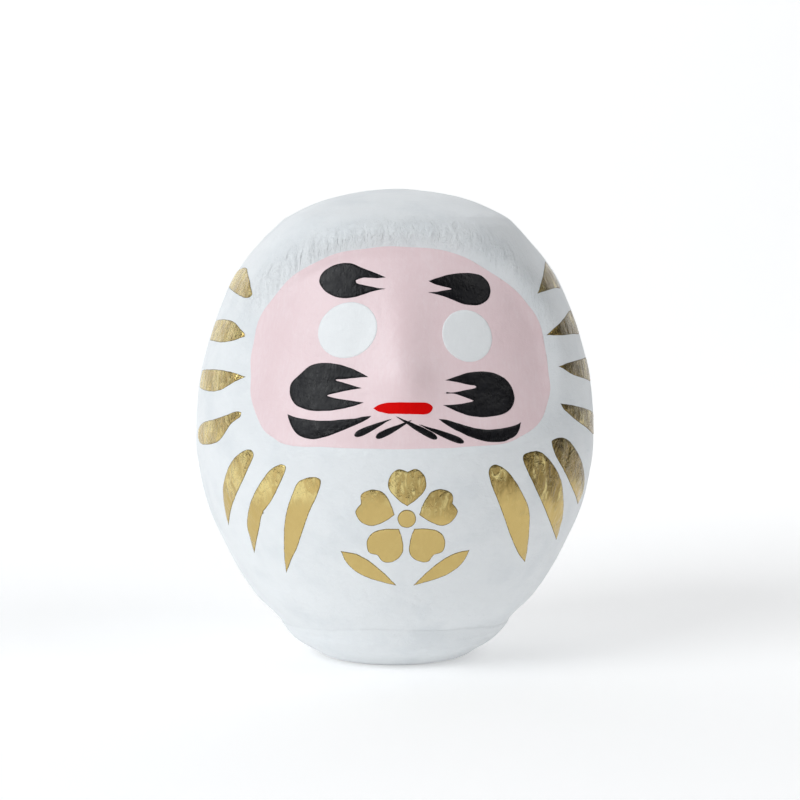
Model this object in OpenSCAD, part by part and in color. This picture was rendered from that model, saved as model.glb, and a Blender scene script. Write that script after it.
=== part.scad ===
// A folk doll of moulded paper pulp: two hollow shells joined round the middle,
// closed below by a clay weight in a paper wrap, with paint and gold leaf on top.
// The doll faces -Y and stands on Z = 0, with the origin in the middle of its foot.
// Left and right are as seen from the front.

/* [Body] */
// Overall height, from the foot to the crown
doll_h = 120; // [105:1:160]
// Overall width across the belly
doll_w = 102; // [84:1:140]
// Thickness of the moulded paper
shell_wall = 2.2; // [1.6:0.1:3.4]
// Width of the paper strip glued inside over the seam
strip_w = 14; // [8:1:24]
// Thickness of that strip
strip_t = 0.6; // [0.4:0.1:1.2]

/* [Base] */
// Height of the weighted base, where the shells start
base_h = 8; // [6:0.5:11]
// Width across the rim of the base
rim_w = 57; // [46:0.5:62]
// Width of the flat foot
foot_w = 34; // [26:1:42]
// How far the weight reaches up inside the shells
spigot_h = 7; // [4:0.5:12]
// Glue gap between the weight and the shells
spigot_gap = 0.3; // [0.2:0.05:0.8]
// Thickness of the paper wrapped round the weight
wrap_t = 0.8; // [0.5:0.1:1.5]
// Thickness of the paper disc under the weight
sole_t = 0.8; // [0.5:0.1:1.5]

/* [Face] */
// Width of the painted face
face_w = 73; // [56:1:78]
// Height of the painted face
face_h = 47.5; // [38:0.5:50]
// Distance from the crown down to the face
face_drop = 14; // [11:0.5:20]
// How deep the face is sunk below the hood round it
face_recess = 3; // [1:0.25:5]
// How far the hood's edge stands up round the face
hood_ridge = 0.8; // [0:0.1:1.5]
// How far the nose stands out
nose_out = 3.4; // [1:0.2:6]
// How far the mouth stands out
mouth_out = 1; // [0:0.1:2]

/* [Painted marks, in hundredths of the face's width and height] */
// Width of an eye
eye_w = 18.6; // [14:0.1:21]
// Height of an eye
eye_h = 27.8; // [22:0.1:31]
// Length of a brow
brow_w = 21.6; // [16:0.1:26]
// Height of a brow
brow_h = 17.3; // [13:0.1:19]
// Length of a cheek whisker
whisker_w = 25.3; // [20:0.1:29]
// Height of a cheek whisker
whisker_h = 23.6; // [18:0.1:25]
// Length of a long moustache stroke
moustache_w = 27.8; // [21:0.1:31]
// Height of a long moustache stroke
moustache_h = 13.7; // [9:0.1:15]
// Width of the mouth
mouth_w = 19.5; // [14:0.1:24]
// Height of the mouth
mouth_h = 6.5; // [4:0.1:9]

/* [Paint] */
// Thickness of the face paint and of the marks on it
paint_t = 0.2; // [0.15:0.05:0.4]
// Width of a short moustache stroke
stroke_w = 1.5; // [1:0.1:2.2]

/* [Gold leaf] */
// Thickness of the gold leaf and its size coat
leaf_t = 0.15; // [0.15:0.05:0.3]
// Length of the flower's petals
petal_l = 9.2; // [7:0.2:11.5]
// Width of the flower's petals
petal_w = 9; // [7:0.2:10]
// Width of the flower's centre
centre_w = 4.4; // [3:0.2:6]
// Length of the two leaves under the flower
sprig_l = 16; // [12:0.5:20]
// Width of those leaves
sprig_w = 4.8; // [3:0.2:6]
// Bare gap between the pieces of the flower
flower_gap = 0.9; // [0.6:0.1:1.5]

/* [Hidden] */
SIDES = ["left", "right"];
function named(stem, last) = [for (side = SIDES) for (i = [1:last]) str(stem, "_", side, "_", i)];

// Colours
WHITE = "#E9EDEF";
PINK = "#EBCFD3";
BLACK = "#1D1D22";
RED = "#CC120C";
GOLD = "#C9A54F";
CARD = "#B9A484";
CLAY = "#9B7B62";

// Mesh of the shells: steps along each span of the outline, and steps round the front half
SPAN_STEPS = 4;
ROUND_STEPS = 54;
// The inner mesh keeps every second step of the outer one
COARSE = 2;
// Depth of the cutters that trim films out of the skin, and the spare skin kept round a cutter
CUT = 40;
SPARE = 2.5;
SPARE_TURN = 8;

half_w = doll_w / 2;
rim_r = rim_w / 2;
foot_r = foot_w / 2;
shell_h = doll_h - base_h;

// Outline from the rim to the belly: hundredths of the way out, hundredths of the shells' height
LOWER = [[0, 0], [12, 3], [36, 8], [62, 16.5], [86, 27], [98, 37.5], [100, 45]];
// Outline from the belly to the crown, at the sides and down the middle of the front:
// hundredths of half the width, hundredths of the shells' height
SIDE_UPPER = [[98, 57], [92, 68], [82.5, 78.5], [69.5, 87], [52.5, 94], [31, 98], [0, 100]];
FRONT_UPPER = [[97, 57], [93.5, 68], [87.5, 79], [80.5, 87], [66.5, 92.5], [39, 97.5], [0, 100]];

function mix(a, b, t) = a * (1 - t) + b * t;
function ramp(low, high, x) = let (t = max(0, min(1, (x - low) / (high - low)))) t * t * (3 - 2 * t);
function bump(x, middle, width) = exp(-pow((x - middle) / width, 2));
function unit(v) = v / norm(v);

// A smooth curve through points, from the first to the last
function through(a, b, c, d, t) =
    0.5 * (2 * b + (c - a) * t + (2 * a - 5 * b + 4 * c - d) * t * t + (3 * b - a - 3 * c + d) * t * t * t);
function curve(pts, steps, after) = concat(
    [for (i = [0:len(pts) - 2]) for (k = [0:steps - 1])
        through(i == 0 ? 2 * pts[0] - pts[1] : pts[i - 1], pts[i], pts[i + 1],
                i + 2 < len(pts) ? pts[i + 2] : after, k / steps)],
    [pts[len(pts) - 1]]);
// A closed outline of curves that meet at corners, each in hundredths of a half width and a half height
function outline(arcs, w, h) = [for (arc = arcs)
    let (last = len(arc) - 1, pts = curve(arc, 4, 2 * arc[last] - arc[last - 1]))
    for (k = [0:len(pts) - 2]) [pts[k].x * w / 200, pts[k].y * h / 200]];

// The outer skin. Rows climb from the rim to the crown, and the turn runs from -90 at the
// left side, through 0 at the middle of the front, to 90 at the right
function height(share) = base_h + shell_h * share / 100;
function meridian(upper) = curve(
    concat([for (p = LOWER) [mix(rim_r, half_w, p.x / 100), height(p.y)]],
           [for (p = upper) [half_w * p.x / 100, height(p.y)]]),
    SPAN_STEPS, [-half_w * upper[5].x / 100, height(upper[5].y)]);
side_line = meridian(SIDE_UPPER);
front_line = meridian(FRONT_UPPER);
LAST_ROW = len(side_line) - 1;

// The face: an ellipse above its widest level, a squarer curve below it
face_bottom = doll_h - face_drop - face_h;
face_mid = face_bottom + face_h / 2;
FACE_TOP_POWER = 2;
FACE_BOTTOM_POWER = 3.5;
// Share of the face's height that lies below its widest level
LOW_SHARE = 0.275;
face_low = LOW_SHARE * face_h;
face_high = face_h - face_low;
face_level = face_bottom + face_low;
function from_level(z) = z > face_level ? (z - face_level) / face_high : (face_level - z) / face_low;
function face_power(z) = z > face_level ? FACE_TOP_POWER : FACE_BOTTOM_POWER;
// Height of a place in hundredths of the face's half height above its middle
function face_z(share) = face_mid + share / 100 * face_h / 2;
// 0 in the middle of the face, 1 on its painted edge
function face_reach(x, z) = let (n = face_power(z))
    pow(pow(abs(x) / (face_w / 2), n) + pow(from_level(z), n), 1 / n);
// The hood's slope down into the face, and the ridge along it, both in the same measure as the reach
SLOPE_FROM = 0.92;
SLOPE_TO = 1.12;
RIDGE_AT = 1.16;
RIDGE_SPREAD = 0.08;
// The tip of the nose, its bridge and the mouth: how far out, spread across, place on the face, spread along
MOUNDS = [[nose_out, 4.6, -30, 5.5], [0.65 * nose_out, 3.4, 16, 8.5], [mouth_out, 10, -68, 4.5]];
function mounds(x, z, i = 0) = i == len(MOUNDS) ? 0
    : let (m = MOUNDS[i]) m[0] * bump(x, 0, m[1]) * bump(z, face_z(m[2]), m[3]) + mounds(x, z, i + 1);
// What stands out of the plain body, measured forwards
function relief(x, z) = let (reach = face_reach(x, z))
    mounds(x, z) + hood_ridge * bump(reach, RIDGE_AT, RIDGE_SPREAD)
    - face_recess * (1 - ramp(SLOPE_FROM, SLOPE_TO, reach));
// Towards the sides the relief fades out, over this much of the cosine of the turn
FADE = 0.45;
function skin_point(row, turn) =
    let (ahead = max(0, cos(turn)),
         p = mix(side_line[row], front_line[row], ahead * ahead * (3 - 2 * ahead)),
         x = p.x * sin(turn))
    [x, -p.x * cos(turn) - relief(x, p.y) * ramp(0, FADE, ahead), p.y];
function turn_of(col) = -90 + 180 * col / ROUND_STEPS;
SKIN = [for (row = [0:LAST_ROW]) [for (col = [0:ROUND_STEPS])
    abs(turn_of(col)) == 90 ? [sign(col - 1) * side_line[row].x, 0, side_line[row].y]
                            : skin_point(row, turn_of(col))]];

// Normals: in the plane of the seam they come from the outline alone, so both shells share them
function line_normal(line, row) =
    let (a = line[max(0, row - 1)], b = line[min(LAST_ROW, row + 1)], t = unit(b - a))
    row == LAST_ROW ? [0, 1] : [t.y, -t.x];
// The radius of the side outline at a height, and how far the skin leans back there
function radius(z) = lookup(z, [for (p = side_line) [p.y, p.x]]);
function lean(z) = lookup(z, [for (row = [0:LAST_ROW])
    let (n = line_normal(side_line, row)) [side_line[row].y, atan2(n.y, n.x)]]);
// The turn of the face's edge at a height
function edge_turn(z) = let (n = face_power(z))
    asin(face_w / 2 * pow(max(0, 1 - pow(from_level(z), n)), 1 / n) / radius(z));
function skin_normal(row, col) = row == LAST_ROW ? [0, 0, 1]
    : col == 0 || col == ROUND_STEPS
        ? let (n = line_normal(side_line, row)) [sign(col - 1) * n.x, 0, n.y]
        : unit(cross(SKIN[row][col + 1] - SKIN[row][col - 1],
                     SKIN[row + 1][col] - SKIN[max(0, row - 1)][col]));
NORMAL = [for (row = [0:LAST_ROW]) [for (col = [0:ROUND_STEPS]) skin_normal(row, col)]];
function lifted(row, col, by) = SKIN[row][col] + by * NORMAL[row][col];

// The inner skin is one wall inside the outer one, and meets the base square
INNER_ROWS = [for (row = [COARSE:COARSE:LAST_ROW - 1]) row];
INNER_COLS = [for (col = [0:COARSE:ROUND_STEPS]) col];
neck_r = rim_r - shell_wall;
inner_line = concat([[neck_r, base_h]],
    [for (row = INNER_ROWS) side_line[row] - shell_wall * line_normal(side_line, row)],
    [[0, doll_h - shell_wall]]);
INNER = concat([[for (col = INNER_COLS) [neck_r * sin(turn_of(col)), -neck_r * cos(turn_of(col)), base_h]]],
    [for (row = INNER_ROWS) [for (col = INNER_COLS) lifted(row, col, -shell_wall)]]);

// Corner numbers and triangles of a grid of rows by cols corners, numbered from first
function corner(first, cols, row, col) = first + row * cols + col;
function sheet(first, rows, cols) = [for (row = [0:rows - 2]) for (col = [0:cols - 2])
    let (a = corner(first, cols, row, col), b = a + 1, c = b + cols, d = a + cols)
    each [[a, c, b], [a, d, c]]];
function cap(first, rows, cols, pole) = [for (col = [0:cols - 2])
    let (a = corner(first, cols, rows - 1, col)) [a, pole, a + 1]];
// The flat band between a line of corners and one inside it with half as many steps
function band(outside, inside) = [for (k = [0:len(inside) - 2])
    let (a = outside[2 * k], b = outside[2 * k + 1], c = outside[2 * k + 2], d = inside[k], e = inside[k + 1])
    each [[a, b, d], [b, e, d], [b, c, e]]];
function flipped(faces) = [for (f = faces) [for (i = [len(f) - 1:-1:0]) f[i]]];
function flat(rows) = [for (row = rows) each row];

// ---- the paper shells ----

module front_shell() {
    rows = LAST_ROW;
    cols = ROUND_STEPS + 1;
    in_rows = len(INNER);
    in_cols = len(INNER_COLS);
    outer = [for (row = [0:LAST_ROW - 1]) SKIN[row]];
    pole = rows * cols;
    first = pole + 1;
    in_pole = first + in_rows * in_cols;
    rim = band([for (col = [0:cols - 1]) col], [for (col = [0:in_cols - 1]) first + col]);
    seam = band(
        concat([for (row = [0:rows - 1]) corner(0, cols, row, 0)], [pole],
               [for (row = [rows - 1:-1:0]) corner(0, cols, row, cols - 1)]),
        concat([for (row = [0:in_rows - 1]) corner(first, in_cols, row, 0)], [in_pole],
               [for (row = [in_rows - 1:-1:0]) corner(first, in_cols, row, in_cols - 1)]));
    color(WHITE) polyhedron(
        points = concat(flat(outer), [[0, 0, doll_h]], flat(INNER), [[0, 0, doll_h - shell_wall]]),
        faces = concat(sheet(0, rows, cols), cap(0, rows, cols, pole),
                       flipped(sheet(first, in_rows, in_cols)),
                       flipped(cap(first, in_rows, in_cols, in_pole)), rim, seam));
}

module back_shell() {
    color(WHITE) rotate_extrude(angle = 180, $fn = 120)
        polygon(concat(side_line, [for (i = [len(inner_line) - 1:-1:0]) inner_line[i]]));
}

// Paper strip that bridges the seam inside, from just above the weight over the crown
module seam_strip() {
    clear = base_h + spigot_h + 1;
    inside = [for (p = inner_line) if (p.y > clear) p];
    within = [for (i = [0:len(inside) - 1])
        let (a = inside[max(0, i - 1)], b = inside[min(len(inside) - 1, i + 1)], t = unit(b - a))
        i == len(inside) - 1 ? [0, inside[i].y - strip_t] : inside[i] - strip_t * [t.y, -t.x]];
    ring = concat(inside, [for (i = [len(within) - 1:-1:0]) within[i]]);
    color(CARD) intersection() {
        rotate_extrude($fn = 120) polygon(ring);
        translate([-half_w, -strip_w / 2, 0]) cube([doll_w, strip_w, doll_h]);
    }
}

// ---- the base ----

// The bowl of the base from the foot to the rim, drawn in by the given amount
BOWL = [[0, 0], [40, 17], [74, 50], [92, 78], [100, 100]];
function bowl(inset) = [for (p = curve(BOWL, 3, [104, 125]))
    [mix(foot_r, rim_r, p.x / 100) - inset, mix(sole_t, base_h, p.y / 100)]];

module base_weight() {
    spigot_r = neck_r - spigot_gap;
    color(CLAY) rotate_extrude($fn = 120) polygon(concat([[0, sole_t]], bowl(wrap_t),
        [[spigot_r, base_h], [spigot_r, base_h + spigot_h], [0, base_h + spigot_h]]));
}

module base_wrap() {
    inside = bowl(wrap_t);
    color(WHITE) rotate_extrude($fn = 120)
        polygon(concat(bowl(0), [for (i = [len(inside) - 1:-1:0]) inside[i]]));
}

module base_sole() {
    color(WHITE) cylinder(r = foot_r, h = sole_t, $fn = 96);
}

// ---- films on the skin ----

// A closed layer of skin between two heights above it, over a block of rows and columns
module skin_layer(from, to, row_a, row_b, col_a, col_b) {
    rows = row_b - row_a + 1;
    cols = col_b - col_a + 1;
    top = [for (row = [row_a:row_b]) [for (col = [col_a:col_b]) lifted(row, col, to)]];
    bottom = [for (row = [row_a:row_b]) [for (col = [col_a:col_b]) lifted(row, col, from)]];
    first = rows * cols;
    edge = concat([for (col = [0:cols - 2]) col],
                  [for (row = [0:rows - 2]) corner(0, cols, row, cols - 1)],
                  [for (col = [cols - 1:-1:1]) corner(0, cols, rows - 1, col)],
                  [for (row = [rows - 1:-1:1]) corner(0, cols, row, 0)]);
    polyhedron(
        points = concat(flat(top), flat(bottom)),
        faces = concat(sheet(0, rows, cols), flipped(sheet(first, rows, cols)),
            [for (i = [0:len(edge) - 1])
                let (a = edge[i], b = edge[(i + 1) % len(edge)])
                each [[a, b, b + first], [a, b + first, a + first]]]));
}

// The rows and columns that cover a stretch of heights and of turn or of width
function rows_over(low, high) = [for (row = [1:LAST_ROW - 1])
    let (a = side_line[row].y, b = front_line[row].y)
    if (max(a, b) > low - SPARE && min(a, b) < high + SPARE) row];
function cols_over(rows, low, high) = [for (col = [1:ROUND_STEPS - 1])
    let (x = [for (row = rows) SKIN[row][col].x]) if (max(x) > low - SPARE && min(x) < high + SPARE) col];

function moved(shape, by) = [for (p = shape) p + by];
function spun(shape, turned) = [for (p = shape)
    [cos(turned) * p.x - sin(turned) * p.y, sin(turned) * p.x + cos(turned) * p.y]];
function mirrored(shape) = [for (i = [len(shape) - 1:-1:0]) [-shape[i].x, shape[i].y]];

// A film seen from the front: outlines that overlap, cut straight back and left as one piece
module front_film(shapes, from, to) {
    points = flat(shapes);
    rows = rows_over(min([for (p = points) p.y]), max([for (p = points) p.y]));
    cols = cols_over(rows, min([for (p = points) p.x]), max([for (p = points) p.x]));
    intersection() {
        skin_layer(from, to, rows[0], rows[len(rows) - 1], cols[0], cols[len(cols) - 1]);
        translate([0, -CUT / 2, 0]) rotate([90, 0, 0]) linear_extrude(CUT) union()
            for (shape = shapes) polygon(shape);
    }
}

// A film of gold on the side of the body, cut square to the skin at a turn and a height
module side_film(turn, z, shape) {
    reach = max([for (p = shape) norm(p)]);
    rows = rows_over(z - reach, z + reach);
    spread = reach / half_w * 180 / PI + SPARE_TURN;
    cols = [for (col = [1:ROUND_STEPS - 1]) if (abs(turn_of(col) - turn) < spread) col];
    color(GOLD) intersection() {
        skin_layer(0, leaf_t, rows[0], rows[len(rows) - 1], cols[0], cols[len(cols) - 1]);
        translate([radius(z) * sin(turn), -radius(z) * cos(turn), z]) rotate([90 - lean(z), 0, turn])
            translate([0, 0, -CUT / 2]) linear_extrude(CUT) polygon(shape);
    }
}

// ---- the painted face ----

module face_paint() {
    FACE_STEPS = 40;
    right = [for (i = [0:FACE_STEPS])
        let (a = -90 + 180 * i / FACE_STEPS, n = a > 0 ? FACE_TOP_POWER : FACE_BOTTOM_POWER,
             tall = a > 0 ? face_high : face_low)
        [pow(cos(a), 2 / n) * face_w / 2, face_level + sign(a) * pow(abs(sin(a)), 2 / n) * tall]];
    half = [for (i = [1:FACE_STEPS - 1]) right[i]];
    color(PINK) front_film([concat(half, mirrored(half))], 0, paint_t);
}

// A mark on the face, at hundredths of the face's half width and half height
function face_point(x, z) = [x / 100 * face_w / 2, face_z(z)];
function on_face(w, h) = [w / 100 * face_w, h / 100 * face_h];
module mark(shapes) front_film(shapes, paint_t, 2 * paint_t);

// Rounded at the cheek, with two bristle tips towards the nose
BROW = [[[95, -45], [55, -68], [15, -92], [-40, -100], [-85, -65], [-100, -15], [-92, 45], [-65, 82],
         [-20, 100], [30, 65], [100, 28]],
        [[100, 28], [60, 18], [28, 25], [14, 7]],
        [[14, 7], [30, -15], [55, -28], [95, -45]]];
// Rounded at the cheek, with three bristle tips
WHISKER = [[[84, -62], [55, -86], [0, -100], [-50, -98], [-82, -75], [-100, -22], [-94, 22], [-72, 60],
            [-42, 90], [-8, 100], [30, 95], [64, 76], [100, 47]],
           [[100, 47], [65, 46], [17, 33]], [[17, 33], [42, 18], [84, 0]],
           [[84, 0], [38, -18], [-4, -38]], [[-4, -38], [18, -57], [84, -62]]];
MOUSTACHE = [[[100, 100], [30, 60], [-20, 44], [-60, 48], [-100, 72]],
             [[-100, 72], [-93, -15], [-82, -72], [-60, -100], [-35, -84], [0, -58], [40, -5], [75, 45],
              [100, 100]]];
MOUTH = [[[-100, 0], [-55, -75], [-10, -100], [50, -100], [85, -60], [100, 10], [85, 85], [40, 90],
          [-30, 100], [-72, 60], [-100, 0]]];
ROUND = [for (i = [0:31]) [cos(i * 11.25) / 2, sin(i * 11.25) / 2]];
EYE_TURN = 20;
// The right eye is painted a little smaller
RIGHT_EYE = 0.92;

function eye(size, turned) = let (s = size * on_face(eye_w, eye_h))
    spun([for (p = ROUND) [p.x * s.x, p.y * s.y]], turned);
function drawn(arcs, w, h) = let (s = on_face(w, h)) outline(arcs, s.x, s.y);
brow = drawn(BROW, brow_w, brow_h);
whisker = drawn(WHISKER, whisker_w, whisker_h);
moustache = drawn(MOUSTACHE, moustache_w, moustache_h);
module eye_left() color(WHITE) mark([moved(eye(1, EYE_TURN), face_point(-36, 16))]);
module eye_right() color(WHITE) mark([moved(eye(RIGHT_EYE, -EYE_TURN), face_point(42, 11))]);
module brow_left() color(BLACK) mark([moved(brow, face_point(-33, 65))]);
module brow_right() color(BLACK) mark([moved(mirrored(brow), face_point(37, 59))]);
module whisker_left() color(BLACK) mark([moved(whisker, face_point(-48, -40))]);
module whisker_right() color(BLACK) mark([moved(mirrored(whisker), face_point(50, -48))]);
module moustache_left() color(BLACK) mark([moved(moustache, face_point(-48, -80))]);
module moustache_right() color(BLACK) mark([moved(mirrored(moustache), face_point(51, -82))]);
module mouth() color(RED) mark([moved(drawn(MOUTH, mouth_w, mouth_h), face_point(-1, -59))]);

// A short stroke of the brush, from a fine tip to a blunt end, in hundredths of the face
STROKE = [[[0, 0], [30, 55], [65, 90], [92, 95], [100, 45], [100, -45], [92, -95], [65, -90], [30, -55],
           [0, 0]]];
function dash(tip, end) =
    let (a = face_point(tip.x, tip.y), b = face_point(end.x, end.y),
         along = b - a, across = [-along.y, along.x] / norm(along) * stroke_w / 2)
    [for (p = outline(STROKE, 2, 2)) a + along * p.x + across * p.y];
module stroke_left() color(BLACK) mark([dash([-9, -70], [-31, -90])]);
module stroke_right() color(BLACK) mark([dash([9, -73], [38, -94])]);
// The middle pair cross below the nose and dry as one film
module crossed_strokes() color(BLACK) mark([dash([6, -72], [-16, -91]), dash([-6, -68], [21, -89])]);

// ---- the gold leaf ----

// A mark beside the face widens from a fine tip to a blunt end
WEDGE = [[[100, 0], [60, 42], [10, 74], [-45, 94], [-94, 100]], [[-94, 100], [-104, 0], [-94, -100]],
         [[-94, -100], [-40, -82], [20, -52], [65, -22], [100, 0]]];
// A mark on the belly is a blade with a blunt top
BLADE = [[[0, -100], [-55, -62], [-92, -20], [-100, 20], [-82, 60], [-40, 92], [15, 100], [70, 84], [98, 50],
          [88, 5], [58, -42], [25, -75], [0, -100]]];
// Beside the face: place in hundredths of the face's half height, slope, turn from the face's edge
// to the tip, turn of the blunt end from the front, width
SIDE_MARKS = [[62, -24, 18.4, 75.4, 6.4], [10.5, -5, 7.8, 74.1, 6], [-39, 4, 5.5, 75.5, 5.6],
              [-86, 19, 9.5, 75.5, 6]];
// On the belly: turn past the face's edge, drop below the face, slope, length, width
BELLY_MARKS = [[6.2, 9.1, 37, 26.5, 5.6], [-3.8, 14.1, 33, 29.5, 6.6], [-15.3, 17.5, 27, 30.5, 7.6]];
// The marks on the right sit a little higher
RIGHT_LIFT = 1.3;

// Lays a mark that is drawn as on the left
module gold_mark(side, turn, z, shape) {
    if (side == "left") side_film(-turn, z, shape);
    else side_film(turn, z + RIGHT_LIFT, mirrored(shape));
}
module side_mark(side, i) {
    m = SIDE_MARKS[i - 1];
    z = face_z(m[0]);
    tip = edge_turn(z) + m[2];
    length = (m[3] - tip) * PI / 180 * radius(z);
    gold_mark(side, (m[3] + tip) / 2, z, spun(outline(WEDGE, length, m[4]), m[1]));
}
module belly_mark(side, i) {
    m = BELLY_MARKS[i - 1];
    shape = spun(outline(BLADE, m[4], m[3]), -m[2]);
    gold_mark(side, edge_turn(face_level) + m[0], face_bottom - m[1], shape);
}

// The flower on the belly: five petals round a centre, and two leaves that cradle it
FLOWER_DROP = 16.9;
flower_z = face_bottom - FLOWER_DROP;
// How far the inner end of a leaf reaches past the point below the flower's middle, and the leaf's slope
SPRIG_IN = 6;
SPRIG_SLOPE = 27;
PETAL = [[[0, -100], [55, -60], [98, -5], [92, 55], [50, 95], [0, 82]],
         [[0, 82], [-50, 95], [-92, 55], [-98, -5], [-55, -60], [0, -100]]];
SPRIG = [[[-100, 40], [-55, 88], [-5, 80], [50, 32], [100, -30]],
         [[100, -30], [45, -70], [-10, -88], [-60, -55], [-100, 40]]];
flower_r = centre_w / 2 + flower_gap + petal_l;
module on_belly(shape) color(GOLD) front_film([moved(shape, [0, flower_z])], 0, leaf_t);
module petal(i) on_belly(spun(moved(outline(PETAL, petal_w, petal_l), [0, flower_r - petal_l / 2]), 72 * i));
module flower_centre() on_belly(centre_w * ROUND);
sprig = spun(moved(outline(SPRIG, sprig_l, sprig_w),
                   [SPRIG_IN - sprig_l / 2, -flower_r - flower_gap - sprig_w / 2]), -SPRIG_SLOPE);
module leaf_left() on_belly(sprig);
module leaf_right() on_belly(mirrored(sprig));

front_shell();
back_shell();
seam_strip();
base_weight();
base_wrap();
base_sole();
face_paint();
eye_left();
eye_right();
brow_left();
brow_right();
whisker_left();
whisker_right();
moustache_left();
moustache_right();
stroke_left();
stroke_right();
crossed_strokes();
mouth();
flower_centre();
leaf_left();
leaf_right();
for (i = [1:5]) petal(i);
for (side = SIDES) for (i = [1:4])
    side_mark(side, i);
for (side = SIDES) for (i = [1:3])
    belly_mark(side, i);
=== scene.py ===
"""Looks of a painted folk doll of moulded paper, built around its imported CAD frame.

The doll faces -Y and stands on Z = 0. Left and right are as seen from the front. Shapes are worked out in
millimetres with the same outlines as the CAD part, and become metres only when a mesh takes its points.
"""

from __future__ import annotations

import logging
import math
from dataclasses import dataclass, field
from enum import Enum
from typing import Any, Callable, Iterable, Sequence

import bpy
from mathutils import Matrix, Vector, noise

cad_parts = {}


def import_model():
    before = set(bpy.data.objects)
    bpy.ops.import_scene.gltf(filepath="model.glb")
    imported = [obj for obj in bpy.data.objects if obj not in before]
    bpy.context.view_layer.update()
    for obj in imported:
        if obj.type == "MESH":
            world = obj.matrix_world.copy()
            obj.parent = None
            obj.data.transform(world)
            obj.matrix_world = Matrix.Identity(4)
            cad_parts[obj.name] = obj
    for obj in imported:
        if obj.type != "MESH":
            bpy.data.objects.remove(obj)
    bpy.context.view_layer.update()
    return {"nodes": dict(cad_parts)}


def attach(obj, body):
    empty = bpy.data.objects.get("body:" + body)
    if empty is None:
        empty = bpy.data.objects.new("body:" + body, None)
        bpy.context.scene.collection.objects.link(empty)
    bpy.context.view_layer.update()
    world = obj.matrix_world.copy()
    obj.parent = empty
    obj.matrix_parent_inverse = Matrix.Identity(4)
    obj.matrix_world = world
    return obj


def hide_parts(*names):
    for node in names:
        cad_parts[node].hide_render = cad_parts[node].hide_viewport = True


LOG = logging.getLogger("doll")
MM = 0.001
ARC_STEPS = 5
Point = tuple[float, float]
Triple = tuple[float, float, float]
Object, Material, Socket = bpy.types.Object, bpy.types.Material, bpy.types.NodeSocket


# ---- numbers and outlines ----


def mix(a: float, b: float, t: float) -> float:
    """The value a share t of the way from a to b."""
    return a + (b - a) * t


def ramp(low: float, high: float, x: float) -> float:
    """A smooth step from 0 at low to 1 at high."""
    t = max(0.0, min(1.0, (x - low) / (high - low)))
    return t * t * (3 - 2 * t)


def bump(x: float, middle: float, width: float) -> float:
    """A smooth hump of height 1 at middle."""
    return math.exp(-(((x - middle) / width) ** 2))


def through(a: float, b: float, c: float, d: float, t: float) -> float:
    """A Catmull-Rom curve from b to c, which a and d steer."""
    return 0.5 * (
        2 * b + (c - a) * t + (2 * a - 5 * b + 4 * c - d) * t * t + (3 * b - a - 3 * c + d) * t**3
    )


def curve(points: Sequence[Point], steps: int, after: Point | None = None) -> list[Point]:
    """A smooth curve through points.

    Args:
        points: The points, in order.
        steps: How many steps each span between two points takes.
        after: The point that the curve would head for past its end.

    Returns:
        The curve's points, with the first and the last of points at its ends.
    """
    first = (2 * points[0][0] - points[1][0], 2 * points[0][1] - points[1][1])
    last = after or (2 * points[-1][0] - points[-2][0], 2 * points[-1][1] - points[-2][1])
    knots = [first, *points, last]
    line: list[Point] = []
    for i in range(1, len(knots) - 2):
        a, b, c, d = knots[i - 1 : i + 3]
        for k in range(steps):
            t = k / steps
            line.append((through(a[0], b[0], c[0], d[0], t), through(a[1], b[1], c[1], d[1], t)))
    return [*line, points[-1]]


def mirrored(shape: Sequence[Point]) -> list[Point]:
    """The outline seen in a mirror, still running the same way round."""
    return [(-x, y) for x, y in reversed(shape)]


def moved(shape: Sequence[Point], x: float, y: float) -> list[Point]:
    """The outline moved by x and y."""
    return [(px + x, py + y) for px, py in shape]


def spun(shape: Sequence[Point], degrees: float) -> list[Point]:
    """The outline turned about the origin."""
    c, s = math.cos(math.radians(degrees)), math.sin(math.radians(degrees))
    return [(c * x - s * y, s * x + c * y) for x, y in shape]


def hand_drawn(shape: Sequence[Point], wander: float, grain: float, seed: float) -> list[Point]:
    """The outline with the small wander of a brush or a torn edge.

    Args:
        shape: The clean outline.
        wander: How far the line strays, in millimetres.
        grain: How long a stray lasts along the line, in millimetres.
        seed: A number of its own for each outline.

    Returns:
        The strayed outline.
    """
    out: list[Point] = []
    for x, y in shape:
        at = Vector((x / grain, y / grain, seed))
        stray = noise.noise_vector(at)
        out.append((x + wander * stray.x, y + wander * stray.y))
    return out


# ---- the form of the body ----


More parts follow.
